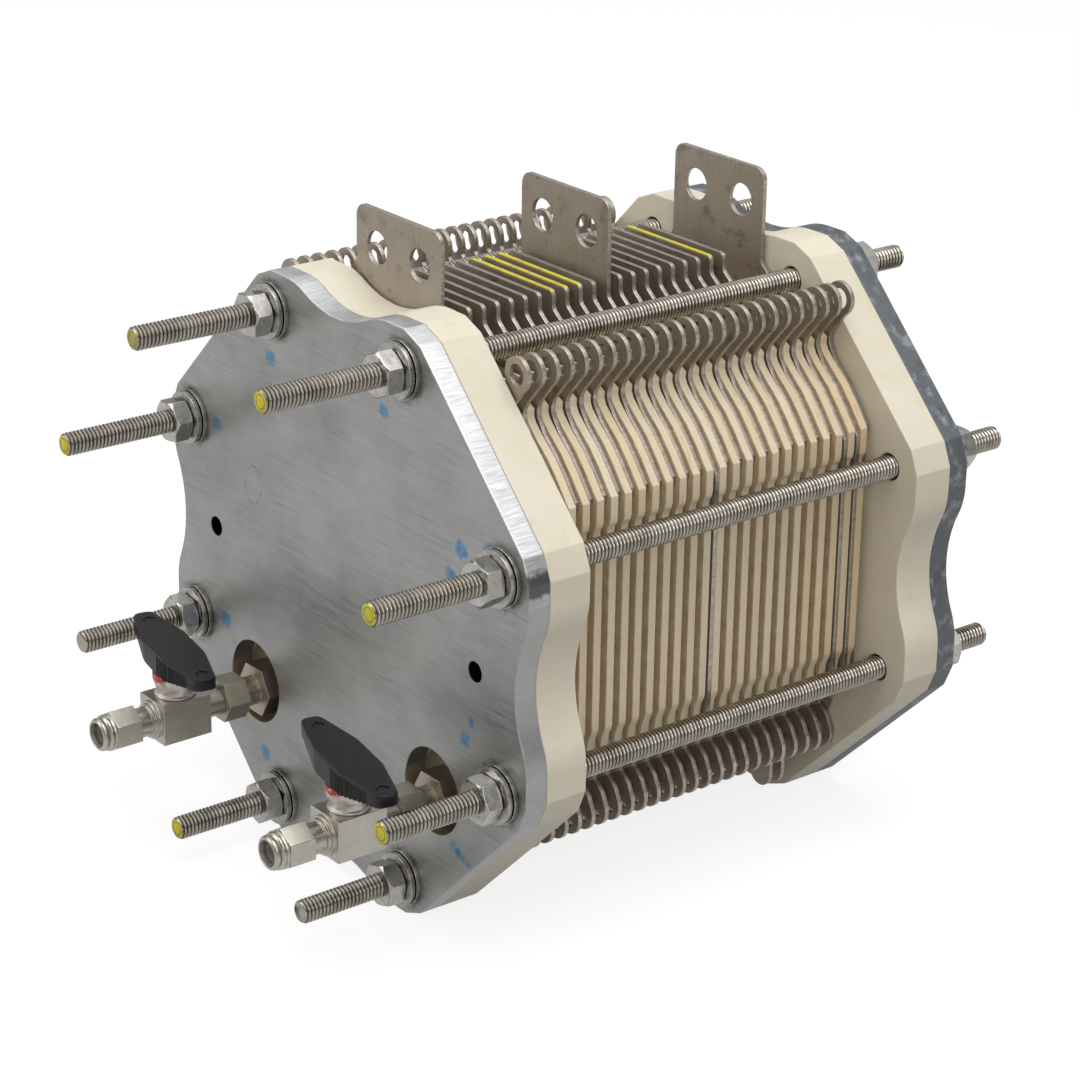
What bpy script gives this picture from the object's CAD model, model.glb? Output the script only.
# %% [markdown]
# # Dressing a water electrolyser stack
# A filter-press electrolyser is a row of thin cells, squeezed between two heavy end plates by
# eight threaded rods. Two small ball valves on the front plate take the hoses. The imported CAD
# model already holds every solid at its real size, so this lesson adds what the model can't:
# cut threads, softened edges, and a finish for each metal and plastic, with the marks of use.
# The first step loads the model. Its parts stay where they are.

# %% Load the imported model
import math

import bmesh
import bpy
from mathutils import Matrix, Vector


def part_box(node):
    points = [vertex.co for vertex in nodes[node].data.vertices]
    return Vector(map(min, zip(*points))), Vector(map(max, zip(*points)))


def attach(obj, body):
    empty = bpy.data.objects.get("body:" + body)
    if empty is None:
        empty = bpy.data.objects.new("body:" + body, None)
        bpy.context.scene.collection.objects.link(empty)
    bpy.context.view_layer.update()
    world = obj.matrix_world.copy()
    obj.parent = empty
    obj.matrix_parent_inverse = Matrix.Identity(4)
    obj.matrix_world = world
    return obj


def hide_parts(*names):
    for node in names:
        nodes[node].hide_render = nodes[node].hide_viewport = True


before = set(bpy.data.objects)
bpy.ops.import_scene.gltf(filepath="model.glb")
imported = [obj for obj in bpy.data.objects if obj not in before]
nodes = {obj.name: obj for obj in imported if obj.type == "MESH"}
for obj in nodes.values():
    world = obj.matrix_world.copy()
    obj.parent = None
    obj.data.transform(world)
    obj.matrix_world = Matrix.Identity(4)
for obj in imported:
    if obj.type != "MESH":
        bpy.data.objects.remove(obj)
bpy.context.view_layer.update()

MM = 0.001


def in_mm(lengths):
    """Metres as millimetres, for printing."""
    return [round(length / MM, 1) for length in lengths]


# %% [markdown]
# ## The camera
# The photograph is a long-lens studio view from the right, in front and a little above. A long
# lens keeps the plates' sides nearly parallel. The place, the turn and the focal length below
# were fitted to points of known size on the object, such as the rods' centres.

# %% Camera
camera = bpy.data.objects.new("camera", bpy.data.cameras.new("camera"))
bpy.context.scene.collection.objects.link(camera)
bpy.context.scene.camera = camera
camera.data.lens = 101.29
camera.data.sensor_width = 36.0
camera.location = (0.93543, -0.72191, 0.60731)
camera.rotation_euler = [math.radians(a) for a in (67.899, -0.837, 52.226)]
print("camera stands", round(camera.location.length, 2), "m from the stack's foot")

# %% [markdown]
# ## One way to write nodes and colours
# A finish is a small graph of nodes. One function adds a node, sets its properties and links
# its inputs, so that each finish below reads as a list of steps. Two more do what nearly every
# finish needs: a step of arithmetic, and the shader with its bump at the end. Colours are
# written as the hex values that a screen shows, and turned to the linear values of light.

# %% Node and colour helpers
def linear(code):
    """A hex colour such as #C8B89A as linear red, green, blue and alpha."""
    shares = [int(code[i:i + 2], 16) / 255 for i in (1, 3, 5)]
    return [s / 12.92 if s <= 0.04045 else ((s + 0.055) / 1.055) ** 2.4 for s in shares] + [1.0]


def add_node(tree, kind, inputs=None, output=0, **settings):
    """Adds a node of a kind, such as "Math", and gives one of its outputs.

    inputs are values, or sockets to link from, and settings are the node's properties. With
    output=None, or from a node that has no output, the node itself comes back.
    """
    node = tree.nodes.new("ShaderNode" + kind)
    for name, value in settings.items():
        setattr(node, name, value)
    for name, value in (inputs or {}).items():
        if isinstance(value, bpy.types.NodeSocket):
            tree.links.new(value, node.inputs[name])
        else:
            node.inputs[name].default_value = value
    if output is None or not node.outputs:
        return node
    return node.outputs[output]


def calc(tree, operation, *values, **settings):
    """A step of arithmetic, such as "MULTIPLY", on numbers or sockets."""
    return add_node(tree, "Math", dict(enumerate(values)), operation=operation, **settings)


def per_mm(size):
    """The scale that gives a pattern a grain of that many millimetres, on coordinates in metres."""
    return 1 / (size * MM)


def new_finish(name):
    """A material with an empty graph."""
    material = bpy.data.materials.new(name)
    material.use_nodes = True
    material.node_tree.nodes.clear()
    return material, material.node_tree


def surface(material, tree, inputs, relief, depth_mm):
    """Ends a finish: one shader with these inputs, and a bump of that depth on it."""
    bump = add_node(tree, "Bump", {"Height": relief, "Distance": depth_mm * MM})
    shader = add_node(tree, "BsdfPrincipled", {**inputs, "Normal": bump})
    add_node(tree, "OutputMaterial", {"Surface": shader})
    return material

# %% [markdown]
# ## A white studio
# The photograph has a white background and almost no shadow. Making the room brighter would
# bleach the pale plastic, so the room is white only for rays that come from the camera, or that
# metal mirrors. What lights the object is softer. In a band above the horizon, the rays see a
# greyer room, as a studio is behind its white paper. The floor hides the band from the camera,
# but the metal mirrors it, which gives the rods and nuts their dark reflections. The view
# transform is Standard, so a hex colour that is lit at full level comes out as that colour.

# %% World
SKY = 0.52                  # what the surroundings give the object
WHITE = 1.0                 # what the camera and mirrors see of them
BAND_STARTS = (0.02, 0.12)  # the grey band's soft edges, as a ray's height over its length
BAND_ENDS = (0.52, 0.30)

bpy.context.scene.view_settings.view_transform = "Standard"
world = bpy.data.worlds.new("studio")
bpy.context.scene.world = world
world.use_nodes = True
tree = world.node_tree
tree.nodes.clear()
rays = add_node(tree, "LightPath", output=None).outputs
seen = calc(tree, "MAXIMUM", rays["Is Camera Ray"], rays["Is Glossy Ray"])
seen = calc(tree, "MAXIMUM", seen, rays["Is Transmission Ray"])
lit = add_node(tree, "Background", {"Color": linear("#FFFFFF"), "Strength": SKY})
ray = add_node(tree, "TexCoord", output="Generated")
rise = add_node(tree, "SeparateXYZ", {0: ray}, output="Z")
above, below = [
    add_node(tree, "MapRange", {"Value": rise, "From Min": start, "From Max": end})
    for start, end in (BAND_STARTS, BAND_ENDS)]
band = calc(tree, "MULTIPLY", above, below)
room = add_node(tree, "Mix", {0: band, 6: linear("#FFFFFF"), 7: linear("#5E5E5E")},
                output=2, data_type="RGBA")
white = add_node(tree, "Background", {"Color": room, "Strength": WHITE})
add_node(tree, "OutputWorld", {"Surface": add_node(tree, "MixShader", {0: seen, 1: lit, 2: white})})
print("world:", len(tree.nodes), "nodes")

# %% [markdown]
# The floor is a wide disc of white paper. It glows for the camera, which keeps the object's
# shadow but makes it faint, and metal mirrors less of that glow. It lies a hair below the
# object, so that the two never share a plane.

# %% Floor
FLOOR_R = 4.0
FLOOR_DROP = 0.0004
FLOOR_GLOW = 0.83       # added to the floor's own shade, for the camera
MIRRORED_GLOW = 0.5     # and for metal

floor_mesh = bpy.data.meshes.new("floor")
form = bmesh.new()
bmesh.ops.create_circle(form, cap_ends=True, segments=96, radius=FLOOR_R)
form.to_mesh(floor_mesh)
form.free()
floor = bpy.data.objects.new("floor", floor_mesh)
floor.location.z = -FLOOR_DROP
bpy.context.scene.collection.objects.link(floor)
paper, tree = new_finish("white_paper_floor")
rays = add_node(tree, "LightPath", output=None).outputs
seen = calc(tree, "MAXIMUM", rays["Is Camera Ray"], rays["Is Transmission Ray"])
glow = calc(tree, "MULTIPLY", rays["Is Glossy Ray"], MIRRORED_GLOW)
glow = calc(tree, "MULTIPLY_ADD", seen, FLOOR_GLOW, glow)
shade = add_node(tree, "BsdfDiffuse", {"Color": linear("#8C8C8C")})
shine = add_node(tree, "Emission", {"Color": linear("#FFFFFF"), "Strength": glow})
add_node(tree, "OutputMaterial", {"Surface": add_node(tree, "AddShader", {0: shade, 1: shine})})
floor_mesh.materials.append(paper)
print("floor:", 2 * FLOOR_R, "m across")

# %% [markdown]
# Three broad lamps light the object: the strongest overhead, a weak one beside the camera and
# one at the left in front. A broad lamp gives a soft shadow and a long, calm highlight on metal.

# %% Lamps
LIT_POINT = Vector((0, 0, 0.14))    # about the middle of the stack


def soft_lamp(name, place, size, watts):
    """A square lamp that faces the stack."""
    data = bpy.data.lights.new(name, "AREA")
    data.size = size
    data.energy = watts
    lamp = bpy.data.objects.new(name, data)
    lamp.location = place
    lamp.rotation_euler = (LIT_POINT - lamp.location).to_track_quat("-Z", "Y").to_euler()
    bpy.context.scene.collection.objects.link(lamp)


soft_lamp("overhead", (0.35, 0.05, 1.5), 0.95, 10.5)
soft_lamp("beside_camera", (1.5, -0.5, 0.9), 0.8, 4.0)
soft_lamp("left_front", (-0.9, -1.4, 0.8), 0.8, 6.5)

# %% [markdown]
# ## Places on the object
# Many marks sit at a known place: ink beside a nut, paint on a fin, a stain on a corner. The
# model's own boxes give the places, so the marks stay where they belong. The stack's axis is
# the middle of the front plate, and the rods stand on a circle round it.

# %% Places taken from the model
plate_low, plate_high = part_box("front_end_plate")
HALF = plate_high.x
AXIS_Z = (plate_low.z + plate_high.z) / 2
rod_boxes = [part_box(f"tie_rod_{i}") for i in range(1, 9)]
rod_centres = [((low.x + high.x) / 2, (low.z + high.z) / 2) for low, high in rod_boxes]
ROD_R = (rod_boxes[0][1].x - rod_boxes[0][0].x) / 2
stem_boxes = (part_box("left_valve_stem"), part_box("right_valve_stem"))
valve_axes = [(low + high) / 2 for low, high in stem_boxes]
fitting_low, fitting_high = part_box("port_fittings")
PORTS = [(axis.x, (fitting_low.z + fitting_high.z) / 2) for axis in valve_axes]
PORT_R = 18.0               # of the port holes and the small holes, in millimetres
SMALL_HOLE_R = 4.0
SMALL_HOLE_INSET = 33 * MM  # of the small holes' centres, from the plate's sides
SMALL_HOLES = [(-HALF + SMALL_HOLE_INSET, AXIS_Z), (HALF - SMALL_HOLE_INSET, AXIS_Z)]
print("axis height and ports' height in mm:", in_mm((AXIS_Z, PORTS[0][1])))

# %% [markdown]
# ## Softened edges
# No real edge is perfectly sharp. A narrow rounding catches a line of light, and that line is
# what tells the eye that a thing is solid. The CAD meshes are made of triangles, so they are
# first welded and cleaned to whole faces. A bevel then rounds every sharp edge, and weighted
# normals keep the wide faces flat. These are modifiers, so the CAD mesh itself stays as it is.

# %% Edge softening
WELD_GAP = 0.002 * MM
FLAT_ANGLE = math.radians(0.4)      # faces nearer to one plane than this become one


def soften(node, width_mm, angle, segments):
    """Rounds a CAD node's edges that are sharper than an angle, by a width in millimetres."""
    piece = nodes[node]
    for face in piece.data.polygons:
        face.use_smooth = True
    weld = piece.modifiers.new("weld", "WELD")
    weld.merge_threshold = WELD_GAP
    clean = piece.modifiers.new("clean", "DECIMATE")
    clean.decimate_type = "DISSOLVE"
    clean.angle_limit = FLAT_ANGLE
    bevel = piece.modifiers.new("bevel", "BEVEL")
    bevel.width = width_mm * MM
    bevel.segments = segments
    bevel.limit_method = "ANGLE"
    bevel.angle_limit = math.radians(angle)
    bevel.use_clamp_overlap = False
    bevel.miter_outer = "MITER_ARC"
    normals = piece.modifiers.new("normals", "WEIGHTED_NORMAL")
    normals.keep_sharp = False


METAL_PLATES = [n for n in nodes if n.startswith("bipolar_plate_") or n.endswith("_terminal_plate")]
SOFT_EDGES = [      # width in mm, angle in degrees, segments, nodes
    (0.6, 16, 3, ["front_end_plate", "rear_end_plate"]),
    (0.5, 16, 2, ["front_insulator", "rear_insulator"]),
    (0.25, 30, 2, METAL_PLATES),
    (0.25, 20, 2, ["cell_frames"]),
    (0.25, 15, 2, ["front_nuts", "rear_nuts"]),
    (0.2, 30, 2, ["front_washers", "rear_washers", "front_disc_springs", "rear_disc_springs"]),
    (0.3, 28, 2, ["left_valve_body", "right_valve_body", "valve_tube_nuts", "port_fittings",
                  "valve_bonnets"])]
for width, angle, segments, names in SOFT_EDGES:
    for name in names:
        soften(name, width, angle, segments)
print("softened nodes:", sum(bool(o.modifiers) for o in nodes.values()))

# %% [markdown]
# ## Patterns shared by the finishes
# A few patterns come back in most finishes. Clouds vary a surface slowly, as handling and air
# do. Streaks are noise stretched along one direction, as a brush or a rolling mill leaves
# them. Facets give each flat of a nut its own tone, as real flats have. Spots are soft discs
# at given places. A colour is then built up in coats, like paint: each coat has a share,
# which one of the patterns gives. Every size is in millimetres of the real surface. Brush
# lines and moulded grain are really 0.05 to 0.2 mm wide, too fine to show in the picture, so
# they are drawn 0.45 to 0.8 mm wide.

# %% Patterns
def clouds(tree, size_mm, low, high, detail=4.0, offset=(0, 0, 0)):
    """Noise of that size, from low to high. Below zero, a coat doesn't show."""
    where = add_node(tree, "TexCoord", output="Object")
    moved = add_node(tree, "Mapping", {"Vector": where, "Location": offset})
    noise = add_node(tree, "TexNoise", {
        "Vector": moved, "Scale": per_mm(size_mm), "Detail": detail, "Roughness": 0.6})
    return add_node(tree, "MapRange", {
        "Value": noise, "From Min": 0.32, "From Max": 0.68, "To Min": low, "To Max": high})


def patchy(tree, share, size_mm, low, high):
    """A share that clouds of that size break up."""
    return calc(tree, "MULTIPLY", share, clouds(tree, size_mm, low, high))


def streaks(tree, sizes_mm, turn=(0, 0, 0), low=0.0, high=1.0, detail=3.0):
    """Noise with its own size along X, Y and Z, in a frame turned by some degrees."""
    where = add_node(tree, "TexCoord", output="Object")
    turned = add_node(tree, "Mapping", {
        "Vector": where, "Rotation": [math.radians(a) for a in turn],
        "Scale": [per_mm(s) for s in sizes_mm]})
    noise = add_node(tree, "TexNoise", {
        "Vector": turned, "Scale": 1.0, "Detail": detail, "Roughness": 0.55})
    return add_node(tree, "MapRange", {
        "Value": noise, "From Min": 0.3, "From Max": 0.7, "To Min": low, "To Max": high})


def facing(tree, axis, sharpness=0.9):
    """1 where the surface faces along that axis, forwards or backwards, and 0 elsewhere."""
    normal = add_node(tree, "TexCoord", output="Normal")
    part = add_node(tree, "SeparateXYZ", {0: normal}, output=axis)
    size = calc(tree, "ABSOLUTE", part)
    return add_node(tree, "MapRange", {
        "Value": size, "From Min": sharpness - 0.05, "From Max": sharpness + 0.05})


def facets(tree, scale, low=0.0, high=1.0):
    """One tone for each direction that a surface faces, from low to high."""
    normal = add_node(tree, "TexCoord", output="Normal")
    noise = add_node(tree, "TexNoise", {"Vector": normal, "Scale": scale, "Detail": 1.0})
    return add_node(tree, "MapRange", {
        "Value": noise, "From Min": 0.36, "From Max": 0.64, "To Min": low, "To Max": high})


def spots(tree, places, radius_mm, edge_mm, wobble_mm=0.0):
    """1 inside soft discs at places (x, z, size) in metres, seen along Y, with a wandering edge."""
    where = add_node(tree, "TexCoord", output="Object")
    if wobble_mm:
        noise = add_node(tree, "TexNoise", {"Vector": where, "Scale": per_mm(4), "Detail": 3.0},
                         output="Color")
        shift = add_node(tree, "VectorMath", {0: noise, 1: (0.5, 0.5, 0.5)}, operation="SUBTRACT")
        shift = add_node(tree, "VectorMath", {0: shift, "Scale": 2 * wobble_mm * MM},
                         operation="SCALE")
        where = add_node(tree, "VectorMath", {0: where, 1: shift})
    flat = add_node(tree, "VectorMath", {0: where, 1: (1, 0, 1)}, operation="MULTIPLY")
    total = 0.0
    for x, z, size in places:
        away = add_node(tree, "VectorMath", {0: flat, 1: (x, 0, z)},
                        output="Value", operation="DISTANCE")
        disc = add_node(tree, "MapRange", {
            "Value": away, "From Min": (radius_mm * size + edge_mm) * MM,
            "From Max": (radius_mm * size - edge_mm) * MM}, interpolation_type="SMOOTHSTEP")
        total = calc(tree, "MAXIMUM", disc, total)
    return total


def in_coats(tree, base, *coats):
    """A colour built up from a base. Each coat is (share, colour), a hex colour or a socket."""
    colour = linear(base) if isinstance(base, str) else base
    for share, over in coats:
        over = linear(over) if isinstance(over, str) else over
        colour = add_node(tree, "Mix", {0: share, 6: colour, 7: over}, output=2, data_type="RGBA")
    return colour


def coat(material, *names):
    """Gives CAD nodes this finish."""
    for name in names:
        nodes[name].data.materials.clear()
        nodes[name].data.materials.append(material)
    print(material.name, "on", len(names), "CAD nodes")

# %% [markdown]
# ## Milled aluminium: the front end plate
# The plate is aluminium tooling plate, skimmed on a mill and scuffed by hand afterwards. Its
# face is a quiet grey with fine level scratches and slow clouds. Its edge was cut with the side
# of the cutter, so it is brighter, with fine lines across it, and one corner is stained. Oil
# has browned the port holes' walls, and the walls of the two small holes are black. The base
# colour stays below that of new aluminium, because the plate has dulled.

# %% Milled aluminium
EDGE_STAIN = (HALF, AXIS_Z + 45.5 * MM, 1.0)        # at the plate's upper right corner
DULL_EDGE = (AXIS_Z + 50 * MM, AXIS_Z + 36 * MM)    # the edge is duller below that corner


def milled_aluminium():
    material, tree = new_finish("milled_aluminium")
    fine = streaks(tree, (16, 3, 0.45), turn=(0, 4, 0))
    coarse = streaks(tree, (34, 5, 1.7), turn=(0, -6, 0))
    coarse = calc(tree, "MULTIPLY", coarse, 0.4)
    brushing = calc(tree, "MULTIPLY_ADD", fine, 0.6, coarse)
    face_colour = in_coats(
        tree, "#8A8B8A", (brushing, "#B5B6B3"), (clouds(tree, 45, 0.0, 0.45), "#868786"),
        (clouds(tree, 28, 0.0, 0.4, offset=(1, 2, 3)), "#BEBEBA"))
    face_colour = front_marks(tree, face_colour)
    cross = streaks(tree, (0.7, 9, 0.7), detail=2.0)
    where = add_node(tree, "TexCoord", output="Object")
    height = add_node(tree, "SeparateXYZ", {0: where}, output="Z")
    low_part = add_node(tree, "MapRange", {
        "Value": height, "From Min": DULL_EDGE[0], "From Max": DULL_EDGE[1], "To Max": 0.75})
    corner = spots(tree, [EDGE_STAIN], 5.0, 1.5, wobble_mm=3.0)
    oily = spots(tree, [(x, z, 1.0) for x, z in PORTS], PORT_R + 1.0, 0.4)
    dark = spots(tree, [(x, z, 1.0) for x, z in SMALL_HOLES], SMALL_HOLE_R + 1.0, 0.4)
    edge_colour = in_coats(
        tree, "#BABCBE", (cross, "#E2E3E4"), (clouds(tree, 20, 0.0, 0.3), "#A0A2A4"),
        (low_part, "#999A98"), (corner, "#606265"), (oily, "#9A8A70"), (dark, "#1E1D1C"))
    face = facing(tree, "Y")
    side = calc(tree, "SUBTRACT", 1.0, face)
    relief = calc(tree, "MULTIPLY_ADD", cross, side, brushing)
    dulled = calc(tree, "MULTIPLY", side, -0.7)
    return surface(material, tree, {
        "Base Color": in_coats(tree, edge_colour, (face, face_colour)),
        "Metallic": calc(tree, "MULTIPLY_ADD", oily, dulled, 0.95),
        "Roughness": calc(tree, "MULTIPLY_ADD", brushing, 0.14, 0.34)}, relief, 0.02)

# %% [markdown]
# The washers have left dark rings on the face. Someone has dotted it with blue layout ink beside
# the rods, to mark which nuts had been tightened, and has drawn a small loop in pencil. Each
# dot's place is given from the stack's axis, with its size, and the noise in the pattern makes
# its edge wander as ink on metal does.

# %% Marks on the front face
WASHER_RING_R = 13.4    # these sizes and places are in millimetres
INK_DOT_R = 3.4
PENCIL_LOOP = (-62, 28, 6.0, 8.5)      # its middle and its two half widths
INK_DOTS = [    # right of the axis, above it, and size
    (-47, 88, 1.0), (-89, 47, 0.9), (32, 88, 0.9), (83, 47, 1.0), (76, 35, 0.8), (-86, -41, 1.0),
    (-57, -93, 0.9), (86, -31, 1.0), (99, 54, 0.45), (90, -22, 0.5), (-80, -50, 0.3),
    (78.5, -80, 0.35), (82, -82, 0.55), (85, -83.2, 0.5), (88.5, -84.8, 0.45), (91, -86.5, 0.3)]


def front_marks(tree, colour):
    """Rings under the washers, ink dots and a pencil loop, laid over a colour."""
    grime = spots(tree, [(x, z, 1.0) for x, z in rod_centres], WASHER_RING_R, 1.8, wobble_mm=2.5)
    grime = patchy(tree, grime, 6, 0.1, 0.8)
    places = [(x * MM, AXIS_Z + z * MM, size) for x, z, size in INK_DOTS]
    ink = spots(tree, places, INK_DOT_R, 1.5, wobble_mm=2.2)
    ink = patchy(tree, ink, 3, 0.45, 0.95)
    x, z, wide, high = [v * MM for v in PENCIL_LOOP]
    where = add_node(tree, "TexCoord", output="Object")
    around = add_node(tree, "Mapping", {
        "Vector": where, "Location": (x, 0, AXIS_Z + z), "Rotation": (0, 0.2, 0),
        "Scale": (wide, 1, high)}, vector_type="TEXTURE")
    around = add_node(tree, "VectorMath", {0: around, 1: (1, 0, 1)}, operation="MULTIPLY")
    away = add_node(tree, "VectorMath", {0: around}, output="Value", operation="LENGTH")
    pencil = calc(tree, "COMPARE", away, 1.0, 0.05)
    pencil = patchy(tree, pencil, 5, -0.2, 0.75)
    return in_coats(tree, colour, (grime, "#4A4945"), (pencil, "#5C5D5E"), (ink, "#2A82B4"))


coat(milled_aluminium(), "front_end_plate")
print("ink dots:", len(INK_DOTS))

# %% [markdown]
# ## Coated aluminium: the rear end plate
# The rear plate is the same kind of plate under a dull slate-grey conversion coat. Handling has
# rubbed its edge pale in smears, so there the coat is mixed with a lighter, chalky grey in
# patches, and with a darker one where it is untouched. The broad face is calmer, and the
# brushing under the coat still shows. The coat is thin, so the surface stays half metallic.

# %% Slate coating
def slate_coating():
    material, tree = new_finish("slate_conversion_coat")
    smear = streaks(tree, (9, 7, 22), turn=(20, 30, 10), detail=6.0)
    brushed = streaks(tree, (26, 5, 0.6), turn=(0, 5, 0))
    face = facing(tree, "Y")
    edge = calc(tree, "MULTIPLY_ADD", face, -0.85, 1.0)
    scuff, untouched = [
        calc(tree, "MULTIPLY", patches, edge)
        for patches in (clouds(tree, 7, -1.1, 0.8, detail=8.0),
                        clouds(tree, 16, -1.2, 0.6, offset=(3, 1, 0)))]
    colour = in_coats(
        tree, "#4E5256", (smear, "#676B6E"), (brushed, "#5F6367"),
        (clouds(tree, 60, 0.0, 0.4), "#7A7E81"), (scuff, "#A4A7A9"), (untouched, "#434649"))
    return surface(material, tree, {
        "Base Color": colour, "Metallic": 0.45,
        "Roughness": calc(tree, "MULTIPLY_ADD", smear, 0.15, 0.42)}, brushed, 0.015)


coat(slate_coating(), "rear_end_plate")

# %% [markdown]
# ## Ivory polypropylene: the insulating plates
# The thick insulators are sawn and milled from ivory polypropylene sheet. The plastic is
# slightly waxy, with light passing a little way in, and only faint cutter marks. Any strong
# pattern would make it look like stone, so the colour varies by a few percent at most. Behind
# the port holes, oil and dust have turned it dark.

# %% Ivory polypropylene
def ivory_polypropylene():
    material, tree = new_finish("ivory_polypropylene")
    marks = streaks(tree, (0.8, 12, 0.8), high=0.12, detail=2.0)
    dirty = spots(tree, [(x, z, 1.0) for x, z in PORTS], PORT_R + 1.5, 0.5)
    dirty = calc(tree, "MULTIPLY", dirty, 0.85)
    colour = in_coats(
        tree, "#E8E0CD", (clouds(tree, 30, 0.0, 1.0), "#E1D8C2"), (marks, "#D3C8AE"),
        (clouds(tree, 9, -2.2, 0.4, detail=5.0), "#DBC9A4"), (dirty, "#8A7A60"))
    return surface(material, tree, {
        "Base Color": colour, "Roughness": 0.46, "IOR": 1.49, "Subsurface Weight": 0.12,
        "Subsurface Radius": (4 * MM, 3 * MM, 2 * MM), "Subsurface Scale": 1.0}, marks, 0.12)


coat(ivory_polypropylene(), "front_insulator", "rear_insulator")

# %% [markdown]
# ## Stained polypropylene: the cell frames
# The twenty-four thin frames are the same family of plastic, but warmer, and the electrolyte
# has stained them where they meet the metal. Each frame's own place along the stack gives it
# a slightly different tint, and the last ones are the most orange. To find its frame, a point
# counts cell pitches from the first metal plate.

# %% Stained cell frames
fin_low, fin_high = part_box("bipolar_plate_9")
FIN_T = fin_high.y - fin_low.y
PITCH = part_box("bipolar_plate_10")[0].y - fin_low.y
FIRST_PLATE_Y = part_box("front_terminal_plate")[0].y
FRAME_MIDDLE = 1.85 * MM    # half a frame's thickness, behind the metal plate


def stained_cell_frames():
    material, tree = new_finish("stained_polypropylene")
    where = add_node(tree, "TexCoord", output="Object")
    along = add_node(tree, "SeparateXYZ", {0: where}, output="Y")
    count = calc(tree, "MULTIPLY_ADD", along, 1 / PITCH, -FIRST_PLATE_Y / PITCH)
    number = calc(tree, "FLOOR", count)
    within = calc(tree, "FRACT", count)
    chance = add_node(tree, "TexWhiteNoise", {"W": number}, noise_dimensions="1D")
    late = add_node(tree, "MapRange", {
        "Value": number, "From Min": 17.0, "From Max": 23.0, "To Max": 0.4})
    middle = (FIN_T + FRAME_MIDDLE) / PITCH
    rim = calc(tree, "SUBTRACT", within, middle)
    rim = calc(tree, "ABSOLUTE", rim)
    rim = add_node(tree, "MapRange", {"Value": rim, "From Min": 0.20, "From Max": 0.27})
    rim = patchy(tree, rim, 5, 0.1, 0.6)
    drip = streaks(tree, (9, 2, 30), low=-1.9, high=0.6, detail=5.0)
    colour = in_coats(
        tree, "#E9DCC2", (chance, "#DFCEAF"), (clouds(tree, 18, 0.0, 0.6), "#E3D3B4"),
        (clouds(tree, 0.9, -0.2, 0.5), "#D2BE9A"), (late, "#D4B185"), (rim, "#B3946A"),
        (drip, "#C7A97F"))
    relief = clouds(tree, 1.2, 0.0, 1.0)
    return surface(material, tree, {
        "Base Color": colour, "Roughness": 0.5, "IOR": 1.49, "Subsurface Weight": 0.08,
        "Subsurface Radius": (3 * MM, 2 * MM, 1 * MM), "Subsurface Scale": 1.0}, relief, 0.02)


coat(stained_cell_frames(), "cell_frames")
print("cell pitch", round(PITCH / MM, 2), "mm")

# %% [markdown]
# ## Nickel sheet: the plates between the cells
# The thin plates are laser-cut nickel sheet, browned by heat and alkali. Their faces are dull
# and brown-grey, with the grain of the rolling mill and a few rusty freckles. Their cut edges
# stay bright and slightly pink. Four fins carry yellow paint on their upper edge, to help
# whoever counts the cells.

# %% Browned nickel sheet
FIN_PAINT = (fin_high.z - 0.9 * MM, fin_high.z - 0.4 * MM)      # the paint's soft lower edge
PAINTED_FINS = (9, 10, 11, 21)


def nickel_sheet(name, painted):
    """Sheet with a brown face and a bright cut edge, with or without paint on top of its fin."""
    material, tree = new_finish(name)
    where = add_node(tree, "TexCoord", output="Object")
    face = facing(tree, "Y", 0.8)
    rolled = streaks(tree, (0.7, 4, 26), detail=4.0)
    freckles = add_node(tree, "TexVoronoi", {"Vector": where, "Scale": per_mm(7)})
    freckles = add_node(tree, "MapRange", {
        "Value": freckles, "From Min": 0.12, "From Max": 0.03, "To Max": 0.6})
    face_colour = in_coats(
        tree, "#958A7C", (rolled, "#A49A8D"), (clouds(tree, 22, 0.0, 0.55), "#AFA394"),
        (clouds(tree, 9, -1.2, 0.6, detail=6.0), "#6F5E4C"), (freckles, "#5F4934"))
    cut = streaks(tree, (1.2, 6, 1.2), detail=2.0)
    colour = in_coats(
        tree, "#A3988C", (cut, "#C9C0B6"), (clouds(tree, 12, 0.0, 0.4), "#94897C"),
        (face, face_colour))
    metallic = add_node(tree, "MapRange", {"Value": face, "To Min": 0.9, "To Max": 0.55})
    if painted:
        height = add_node(tree, "SeparateXYZ", {0: where}, output="Z")
        top = add_node(tree, "MapRange", {
            "Value": height, "From Min": FIN_PAINT[0], "From Max": FIN_PAINT[1]})
        paint = calc(tree, "MULTIPLY", top, clouds(tree, 6, 0.55, 1.3), use_clamp=True)
        colour = in_coats(tree, colour, (paint, "#DCCB2E"))
        metallic = calc(tree, "SUBTRACT", metallic, paint, use_clamp=True)
    roughness = add_node(tree, "MapRange", {"Value": face, "To Min": 0.38, "To Max": 0.5})
    return surface(material, tree, {
        "Base Color": colour, "Metallic": metallic, "Roughness": roughness}, rolled, 0.01)


coat(nickel_sheet("browned_nickel_sheet", False), *METAL_PLATES)
coat(nickel_sheet("browned_nickel_sheet_with_paint", True),
     *[f"bipolar_plate_{n}" for n in PAINTED_FINS])

# %% [markdown]
# ## Stainless steel: nuts, washers and springs
# The fasteners are ordinary stainless steel, a little dulled. The nuts are forged and the disc
# springs and washers are stamped, which leaves these a shade darker. Grime sits on all of them
# in small patches. A soft mottle and a tone of its own for each flat keep them from looking
# like chrome.

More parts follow.
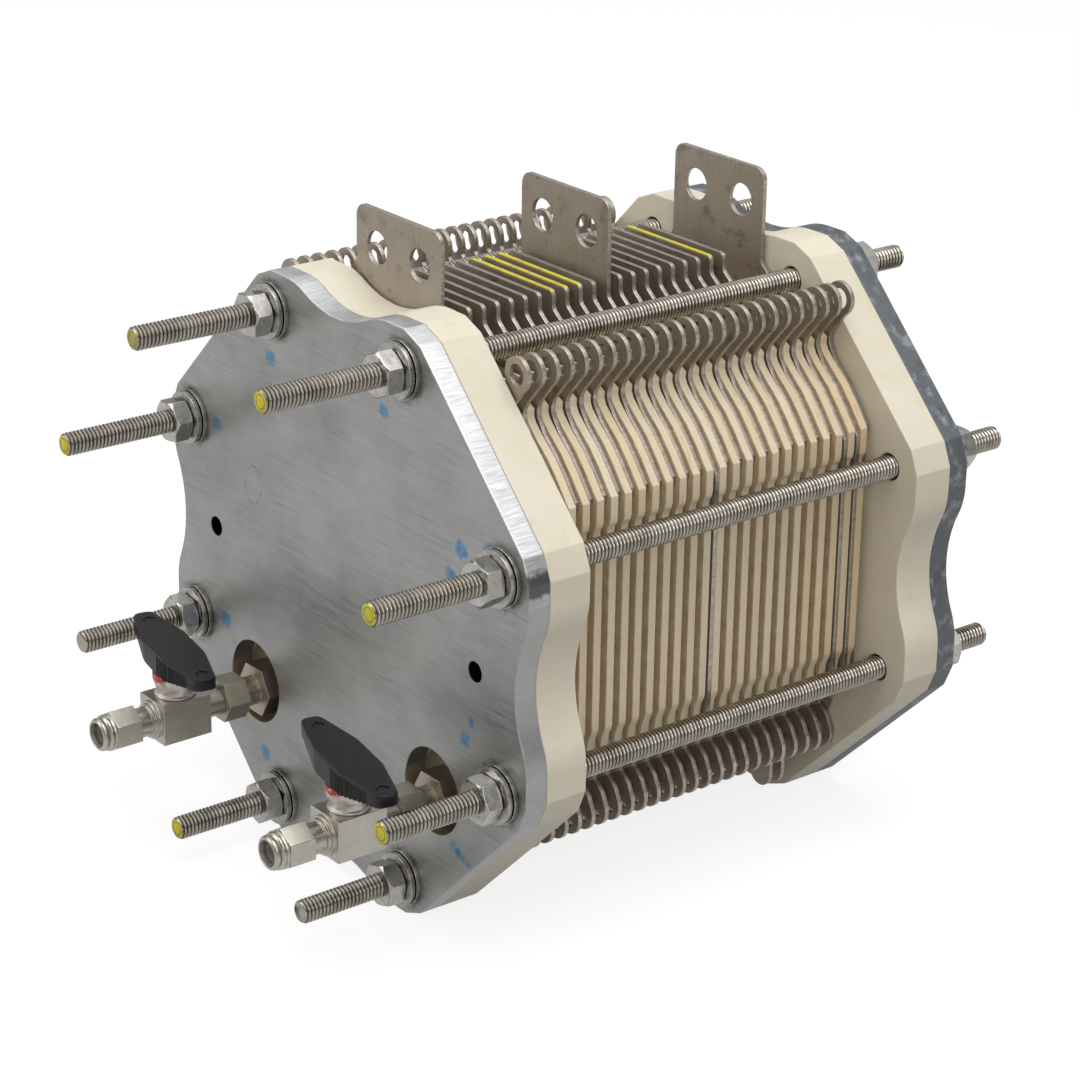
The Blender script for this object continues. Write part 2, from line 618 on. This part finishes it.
# %% Stainless fasteners
def stainless(name, dark, pale, rough):
    """Mottled steel between two tones, with its roughness where the mottle is darkest."""
    material, tree = new_finish(name)
    mottle = clouds(tree, 3, 0.0, 1.0, detail=3.0)
    colour = in_coats(
        tree, dark, (mottle, pale), (facets(tree, 2.6, -0.3, 0.6), "#8C8983"),
        (clouds(tree, 5, -2.6, 0.4), "#6A655D"))
    roughness = calc(tree, "MULTIPLY_ADD", mottle, 0.06, rough)
    relief = clouds(tree, 1.6, 0.0, 1.0, detail=2.0)
    return surface(material, tree, {
        "Base Color": colour, "Metallic": 1.0, "Roughness": roughness}, relief, 0.008)


coat(stainless("forged_stainless", "#B0AEA8", "#C9C7C2", 0.22), "front_nuts", "rear_nuts")
coat(stainless("stamped_stainless", "#9C9A94", "#BDBAB4", 0.24),
     "front_washers", "rear_washers", "front_disc_springs", "rear_disc_springs")

# %% [markdown]
# ## Nickel-plated brass: the ball valves
# The valve bodies, tube nuts and fittings have a satin nickel finish with a faint warm tint.
# It shows fine handling scratches on its flats, and the fittings in the port holes are the
# brownest. The balls and stems are polished steel.

# %% Satin nickel
def satin_nickel(name, dark, pale, rough=0.28, metallic=0.95):
    """Rubbed nickel between two tones, with its roughness where it is least rubbed."""
    material, tree = new_finish(name)
    rubbed = streaks(tree, (0.5, 3, 0.5), turn=(8, 12, 0), detail=2.0)
    colour = in_coats(
        tree, dark, (rubbed, pale), (clouds(tree, 9, 0.0, 0.35), "#9A9283"),
        (facets(tree, 2.2, -0.3, 0.5), "#8A8272"))
    return surface(material, tree, {
        "Base Color": colour, "Metallic": metallic,
        "Roughness": calc(tree, "MULTIPLY_ADD", rubbed, 0.05, rough)}, rubbed, 0.003)


coat(satin_nickel("satin_nickel", "#BDB8AD", "#C9C4BA"),
     "left_valve_body", "right_valve_body", "valve_tube_nuts")
coat(satin_nickel("satin_nickel_fitting", "#A39A8C", "#B9B1A3", 0.34), "port_fittings")
coat(satin_nickel("polished_valve_steel", "#A8A6A2", "#C8C6C2", 0.12),
     "left_valve_stem", "right_valve_stem")

# %% [markdown]
# The bonnets are paler, almost white with handling, and red paint from the ring has run over
# their rim, mostly at the left and in front. The height near the rim, broken up by clouds and
# weighted by the way that the wall faces, gives the runs. Paint isn't metal, so the surface is
# less metallic there.

# %% Bonnets
RUNS_FACE = (-0.85, -0.53, 0)       # the way that the wall with most of the paint faces
RUN_HEIGHT = (3.8 * MM, 1.5 * MM)   # the runs' soft lower edge, below the bonnet's top


def bonnet_nickel():
    material, tree = new_finish("pale_bonnet_nickel")
    bonnet_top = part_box("valve_bonnets")[1].z
    where = add_node(tree, "TexCoord", output="Object")
    height = add_node(tree, "SeparateXYZ", {0: where}, output="Z")
    rim = add_node(tree, "MapRange", {
        "Value": height, "From Min": bonnet_top - RUN_HEIGHT[0],
        "From Max": bonnet_top - RUN_HEIGHT[1]})
    normal = add_node(tree, "TexCoord", output="Normal")
    side = add_node(tree, "VectorMath", {0: normal, 1: RUNS_FACE},
                    output="Value", operation="DOT_PRODUCT")
    side = add_node(tree, "MapRange", {
        "Value": side, "From Min": -0.1, "From Max": 0.5, "To Min": 0.25})
    run = patchy(tree, rim, 4, 0.1, 1.3)
    run = calc(tree, "MULTIPLY", run, side)
    run = add_node(tree, "MapRange", {"Value": run, "From Min": 0.15, "From Max": 0.35})
    metallic = calc(tree, "MULTIPLY_ADD", run, -0.7, 0.7)
    return surface(material, tree, {
        "Base Color": in_coats(
            tree, "#BFB8B0", (clouds(tree, 5, 0.0, 1.0), "#E0DBD6"), (run, "#C23B34")),
        "Metallic": metallic, "Roughness": 0.34}, clouds(tree, 2, 0.0, 1.0), 0.03)


coat(bonnet_nickel(), "valve_bonnets")

# %% [markdown]
# ## Small soft parts and mesh
# The indicator ring under each handle is painted red. The gaskets are brown natural rubber,
# which warms the shade between the frames. The separators are a pale polymer felt, and the
# electrodes are nickel mesh. Little of them shows between the plates, so two tones and a bump
# of the right grain are enough.

# %% Paint, rubber, felt and mesh
def two_tone(name, dark, pale, size_mm, roughness, metallic=0.0):
    """Patches of two tones, as large as size_mm, with a bump of the same grain."""
    material, tree = new_finish(name)
    patch = clouds(tree, size_mm, 0.0, 1.0)
    return surface(material, tree, {
        "Base Color": in_coats(tree, dark, (patch, pale)),
        "Roughness": roughness, "Metallic": metallic}, patch, 0.03)


coat(two_tone("red_indicator_paint", "#B02A26", "#CF3A34", 2, 0.38), "indicator_rings")
coat(two_tone("brown_natural_rubber", "#8E7452", "#A98B66", 3, 0.62),
     "cell_gaskets", "end_gaskets")
coat(two_tone("polymer_felt", "#D8D0BC", "#E8E2D2", 1, 0.8), "diaphragms")
coat(two_tone("nickel_mesh", "#6F695F", "#9C958A", 1.5, 0.4, metallic=1.0), "mesh_electrodes")

# %% [markdown]
# ## Making a piece
# The next steps build pieces of their own, in mesh code. Each one is shaded smooth except where
# its faces meet at a sharp angle, rides on one of the model's bodies, and names the slot that
# its finish belongs to.

# %% Piece helper
SHARP_ANGLE = math.radians(50)


def add_piece(name, form, body, slot_name, *materials):
    """Makes a piece from a form, and lets it ride on a body."""
    mesh = bpy.data.meshes.new(name)
    form.to_mesh(mesh)
    form.free()
    for face in mesh.polygons:
        face.use_smooth = True
    mesh.set_sharp_from_angle(angle=SHARP_ANGLE)
    for material in materials:
        mesh.materials.append(material)
    piece = bpy.data.objects.new(name, mesh)
    bpy.context.scene.collection.objects.link(piece)
    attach(piece, body)
    return piece

# %% [markdown]
# ## Glass-filled nylon: the lever handles
# The lever handles are moulded in black glass-filled nylon. The mould was spark-eroded, so the
# surface is matt with a fine grain, and a little pale dust lies on it. The highlights are wide
# and weak, so the specular level is low.

# %% Moulded nylon
def moulded_nylon():
    material, tree = new_finish("black_moulded_nylon")
    grain = clouds(tree, 0.5, 0.0, 1.0, detail=2.0)
    colour = in_coats(
        tree, "#0B0B0D", (clouds(tree, 10, 0.0, 1.0), "#141417"),
        (clouds(tree, 3, -1.7, 0.25, detail=6.0), "#343438"))
    return surface(material, tree, {
        "Base Color": colour, "IOR": 1.53, "Specular IOR Level": 0.3,
        "Roughness": calc(tree, "MULTIPLY_ADD", grain, 0.1, 0.42)}, grain, 0.02)


nylon = moulded_nylon()
print(nylon.name, "has", len(nylon.node_tree.nodes), "nodes")

# %% [markdown]
# Seen from above, a handle is a long hexagon with soft corners. The CAD solid has this shape
# with plain edges. To soften them all, the mesh is lofted: one outline, moved in and down step
# by step, gives its rings. The outline's corners are given for one half, and mirrored. Its
# points are evenly spaced, and averaging each one with its neighbours rounds the corners.

# %% The handle's outline
HANDLE_HALF = 38        # half its length in mm
HANDLE_CORNERS = [(HANDLE_HALF, 0), (HANDLE_HALF, 3), (36.5, 4.5), (12, 9.3),
                  (-12, 9.3), (-36.5, 4.5), (-HANDLE_HALF, 3), (-HANDLE_HALF, 0)]
OUTLINE_POINTS = 480
ROUNDING_PASSES = 30


def handle_outline():
    """Evenly spaced points round the handle seen from above, in mm, with their outward normals."""
    corners = HANDLE_CORNERS + [(x, -y) for x, y in reversed(HANDLE_CORNERS[1:-1])]
    corners = [Vector(c) for c in corners]
    sides = list(zip(corners, corners[1:] + corners[:1]))
    step = sum((b - a).length for a, b in sides) / OUTLINE_POINTS
    points, used = [], 0.0
    for a, b in sides:
        length = (b - a).length
        while used < length - 1e-6 and len(points) < OUTLINE_POINTS:
            points.append(a.lerp(b, used / length))
            used += step
        used -= length
    for _ in range(ROUNDING_PASSES):
        points = [(points[i - 1] + 2 * p + points[(i + 1) % len(points)]) / 4
                  for i, p in enumerate(points)]
    normals = []
    for i in range(len(points)):
        along = points[(i + 1) % len(points)] - points[i - 1]
        normals.append(Vector((along.y, -along.x)).normalized())
    return points, normals


print("outline points:", len(handle_outline()[0]))

# %% [markdown]
# Nine upright ribs on each long side give the fingers a grip. They are grooves in the outline,
# 2.9 mm apart, on the right half of the front side and, as the handle looks the same turned by
# half a turn, on the left half of the back. They stop below the top edge. The handle is
# thickest over the valve's stem and thins towards its ends. Each arrowhead is a low raised
# chevron, and both point the same way. The photograph shows the handle turned 10.6 degrees
# from square across the valve, so the whole form is turned by that.

# %% Lofted handles
HANDLE_TURN = math.radians(-10.6)
RIB_PITCH, RIB_DEPTH = 2.9, 0.8     # these sizes are in millimetres
RIBS_FROM, RIBS_TO = 3.6, 29.7      # the ribs' reach from the handle's middle
RIB_MIN_Y = 4.6                     # the narrow ends have no ribs
HUB_HALF, END_T = 9.6, 5.5          # half the hub's length, and the ends' thickness
ARROW_TIPS = (-33.0, 28.0)
ARROW_PLAN = [(0, 0), (2.8, 2.8), (4.2, 2.8), (1.4, 0), (4.2, -2.8), (2.8, -2.8)]
ARROW_FOOT, ARROW_TOP = -0.1, 0.4   # heights over the handle's top
LOFT_STEPS = [      # inset, height over the top, share of the thickness below it, ribs or not
    (1.1, 0.0, 0.0, 0), (0.45, -0.12, 0.0, 0), (0.12, -0.4, 0.0, 0), (0.0, -0.9, 0.0, 0),
    (0.0, -1.5, 0.0, 0), (0.0, -2.1, 0.0, 1), (0.0, 0.8, 1.0, 1), (0.3, 0.25, 1.0, 1),
    (1.1, 0.0, 1.0, 1)]


def lever_handle(axis, low_z, high_z):
    """A handle lofted round a vertical axis, between two heights."""
    form = bmesh.new()
    points, normals = handle_outline()
    hub_t = (high_z - low_z) / MM

    def place(x, y, z):
        turned = Vector((x, y))
        turned.rotate(Matrix.Rotation(HANDLE_TURN, 2))
        return form.verts.new((axis.x + turned.x * MM, axis.y + turned.y * MM, high_z + z * MM))

    def thickness(x):
        return hub_t - (hub_t - END_T) * max(0.0, abs(x) - HUB_HALF) / (HANDLE_HALF - HUB_HALF)

    def ribs(x, y):
        if y < 0:
            x = -x
        if abs(y) < RIB_MIN_Y or not RIBS_FROM < -x < RIBS_TO:
            return 0.0
        return RIB_DEPTH * (0.5 - 0.5 * math.cos(2 * math.pi * (-x - RIBS_FROM) / RIB_PITCH)) ** 0.6

    rings = []
    for inset, height, share, ribbed in LOFT_STEPS:
        ring = []
        for p, n in zip(points, normals):
            inner = p - n * (inset + ribbed * ribs(p.x, p.y))
            ring.append(place(inner.x, inner.y, height - share * thickness(p.x)))
        rings.append(ring)
    count = len(points)
    for high, low in zip(rings, rings[1:]):
        for k in range(count):
            form.faces.new((high[k - 1], high[k], low[k], low[k - 1]))
    for ring in (rings[0], rings[-1]):
        for k in range(count // 2):
            corners = [ring[k], ring[(k + 1) % count], ring[-k - 1], ring[-k]]
            form.faces.new(list(dict.fromkeys(corners)))
    for tip in ARROW_TIPS:
        foot = [place(tip + x, y, ARROW_FOOT) for x, y in ARROW_PLAN]
        crest = [place(tip + 0.2 + x * 0.9, y * 0.92, ARROW_TOP) for x, y in ARROW_PLAN]
        for k in range(len(ARROW_PLAN)):
            form.faces.new((foot[k - 1], foot[k], crest[k], crest[k - 1]))
        form.faces.new((crest[0], crest[1], crest[2], crest[3]))
        form.faces.new((crest[0], crest[3], crest[4], crest[5]))
        form.faces.new((foot[3], foot[2], foot[1], foot[0]))
        form.faces.new((foot[5], foot[4], foot[3], foot[0]))
    bmesh.ops.recalc_face_normals(form, faces=form.faces)
    return form


for side, axis in zip(("left", "right"), valve_axes):
    low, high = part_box(f"{side}_handle")
    form = lever_handle(axis, low.z, high.z)
    handle = add_piece(f"{side}_lever_handle", form, f"{side}_handle_body", "handle", nylon)
    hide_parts(f"{side}_handle")
    print(handle.name, len(handle.data.polygons), "faces")

# %% [markdown]
# ## The tube nuts' ferrules
# Each valve ends in a nut that grips a tube by a ferrule, a thin sleeve with a groove. Looking
# in from the front, the eye sees its bright rim and then the wall of the bore, which gets
# darker with depth. The sleeve is turned from one profile of radius and depth, the way a lathe
# would do it, and it leaves the bore open for a tube of 10 mm.

# %% Ferrules
FERRULE = [     # radius and depth in mm, from the far end forwards outside and back inside
    (5.27, 16.5), (5.27, 0.9), (5.2, 0.6), (5.12, 0.6), (5.05, 0.9), (5.05, 2.4),
    (5.18, 2.6), (5.18, 3.4), (5.05, 3.6), (5.05, 16.5)]


def turned_ring(centre, front, profile, segments=64):
    """A closed ring round an axis along Y, from (radius, depth) pairs in mm behind a plane."""
    form = bmesh.new()
    rings = []
    for radius, depth in profile:
        ring = []
        for k in range(segments):
            angle = 2 * math.pi * k / segments
            x = centre[0] + radius * MM * math.cos(angle)
            z = centre[1] + radius * MM * math.sin(angle)
            ring.append(form.verts.new((x, front + depth * MM, z)))
        rings.append(ring)
    for i in range(len(rings)):
        for k in range(segments):
            form.faces.new((rings[i - 1][k - 1], rings[i - 1][k], rings[i][k], rings[i][k - 1]))
    bmesh.ops.recalc_face_normals(form, faces=form.faces)
    return form


ferrule_steel = satin_nickel("dull_ferrule_steel", "#B9B4A9", "#CFCABF", 0.34, metallic=0.35)
nut_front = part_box("valve_tube_nuts")[0].y
for side, axis in zip(("left", "right"), valve_axes):
    body_low, body_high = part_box(f"{side}_valve_body")
    centre = (axis.x, (body_low.z + body_high.z) / 2)
    form = turned_ring(centre, nut_front, FERRULE)
    ring = add_piece(f"{side}_ferrule", form, "stack", "valve_metal", ferrule_steel)
    print(ring.name, "at height", round(centre[1] / MM, 1), "mm")

# %% [markdown]
# ## Cut threads on the rods
# The CAD rods are smooth bars, because a helix is too heavy for a solid model. Here each rod is
# built as a tube whose radius follows the thread's profile. Its rings are tilted by one pitch a
# turn, so that the crest runs along the mesh's own edges and stays crisp. A float attribute
# marks the groove, where oil and dust collect, so that the finish can darken it.

# %% Threaded rods
THREAD_PITCH = 1.75 * MM    # as counted in the photograph
THREAD_DEPTH = 0.75 * MM
END_CHAMFER = 0.8 * MM
MERGED = 0.004 * MM         # points nearer than this become one
THREAD_PROFILE = [(0.0, 0.0), (0.22, 0.25), (0.5, 1.0), (0.78, 0.25)]   # shares of pitch and depth


def threaded_bar(centre, start, end, radius, segments=24):
    """A bar along Y with a helical thread from start to end, closed by flat ends."""
    x, z = centre
    form = bmesh.new()
    groove = form.verts.layers.float.new("groove")
    rings = []
    for turn in range(-1, int((end - start) / THREAD_PITCH) + 2):
        for along, deep in THREAD_PROFILE:
            ring = []
            for k in range(segments):
                angle = 2 * math.pi * k / segments
                y = start + (turn + along + k / segments) * THREAD_PITCH
                held = min(max(y, start), end)
                inside = min(held - start, end - held)
                r = radius - END_CHAMFER
                if inside > 0:
                    r = min(r + inside, radius - THREAD_DEPTH * deep)
                vert = form.verts.new((x + r * math.cos(angle), held, z + r * math.sin(angle)))
                vert[groove] = deep
                ring.append(vert)
            rings.append(ring)
    for low, high in zip(rings, rings[1:]):
        for k in range(segments - 1):
            form.faces.new((low[k], low[k + 1], high[k + 1], high[k]))
    step = len(THREAD_PROFILE)
    for i in range(len(rings) - 1 - step):
        low, high = rings[i], rings[i + 1]
        form.faces.new((low[-1], rings[i + step][0], rings[i + 1 + step][0], high[-1]))
    bmesh.ops.remove_doubles(form, verts=form.verts, dist=MERGED)
    bmesh.ops.holes_fill(form, edges=[e for e in form.edges if e.is_boundary], sides=2 * segments)
    bmesh.ops.recalc_face_normals(form, faces=form.faces)
    form.normal_update()
    print("open edges:", sum(not e.is_manifold for e in form.edges))
    return form

# %% [markdown]
# The rods are stainless steel with a rolled thread: bright and warm on the crests, and dark in
# the grooves, where dirty oil makes them rougher too.

# %% Rolled thread
def threaded_stainless():
    material, tree = new_finish("rolled_thread_stainless")
    deep = add_node(tree, "Attribute", output="Fac", attribute_name="groove")
    dirt = add_node(tree, "MapRange", {
        "Value": deep, "From Min": 0.2, "From Max": 0.8, "To Max": 0.9})
    dirt = patchy(tree, dirt, 12, 0.7, 1.1)
    return surface(material, tree, {
        "Base Color": in_coats(
            tree, "#979187", (clouds(tree, 7, 0.0, 1.0), "#BCB5AA"), (dirt, "#37322B")),
        "Metallic": 1.0,
        "Roughness": calc(tree, "MULTIPLY_ADD", deep, 0.2, 0.2)}, clouds(tree, 0.8, 0.0, 1.0), 0.01)


rod_steel = threaded_stainless()
print(rod_steel.name, "has", len(rod_steel.node_tree.nodes), "nodes")

# %% [markdown]
# Six of the eight front ends carry a dab of yellow marking paint, thick in the middle and worn
# away towards the rim, with the ring that the lathe left showing through. One of the six is
# nearly bare again. Where the paint has worn off, the steel's metallic shine is back.

# %% Marking paint
LATHE_RING = (2.8 * MM, 0.28 * MM)      # its radius and half its width
PAINT_RIM = (4.6 * MM, 4.1 * MM)        # the radii between which the paint thins out


def marking_paint(centre, cover):
    """Paint round a rod's centre (x, z), which covers its end from 0, bare, to 1."""
    material, tree = new_finish("yellow_marking_paint")
    where = add_node(tree, "TexCoord", output="Object")
    flat = add_node(tree, "VectorMath", {0: where, 1: (1, 0, 1)}, operation="MULTIPLY")
    away = add_node(tree, "VectorMath", {0: flat, 1: (centre[0], 0, centre[1])},
                    output="Value", operation="DISTANCE")
    lathe_ring = calc(tree, "COMPARE", away, LATHE_RING[0], LATHE_RING[1])
    edge = calc(tree, "MULTIPLY_ADD", clouds(tree, 1.6, -1.0, 1.0), 0.8 * MM, away)
    paint = add_node(tree, "MapRange", {
        "Value": edge, "From Min": PAINT_RIM[0], "From Max": PAINT_RIM[1], "To Max": cover})
    bright = patchy(tree, paint, 2.2, -0.4, 0.8)
    colour = in_coats(
        tree, "#8F897C", (paint, "#D2C42A"), (bright, "#E9DD3C"), (lathe_ring, "#9C8F1E"))
    thick = calc(tree, "MULTIPLY_ADD", lathe_ring, -1.0, paint)
    return surface(material, tree, {
        "Base Color": colour, "Roughness": 0.42,
        "Metallic": calc(tree, "SUBTRACT", 1.0, paint)}, thick, 0.2)


PAINTED_RODS = {1: 0.3, 2: 1.0, 3: 1.0, 4: 1.0, 6: 1.0, 8: 1.0}    # with how well the paint covers
print("painted rods:", list(PAINTED_RODS))

# %% [markdown]
# Each rod now stands where its CAD bar does. The paint is a second material, on the front end
# face alone. Rods are counted clockwise from the upper left, seen from the front.

# %% The eight rods
for number, (low, high) in enumerate(rod_boxes, start=1):
    centre = rod_centres[number - 1]
    form = threaded_bar(centre, low.y, high.y, ROD_R)
    finishes = [rod_steel]
    if number in PAINTED_RODS:
        finishes.append(marking_paint(centre, PAINTED_RODS[number]))
        for face in form.faces:
            if face.normal.y < -0.95 and face.calc_center_median().y < low.y + 0.1 * MM:
                face.material_index = 1
    rod = add_piece(f"threaded_rod_{number}", form, "stack", "rod_steel", *finishes)
    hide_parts(f"tie_rod_{number}")
    print(rod.name, round((high.y - low.y) / MM, 1), "mm long,", len(rod.data.polygons), "faces")
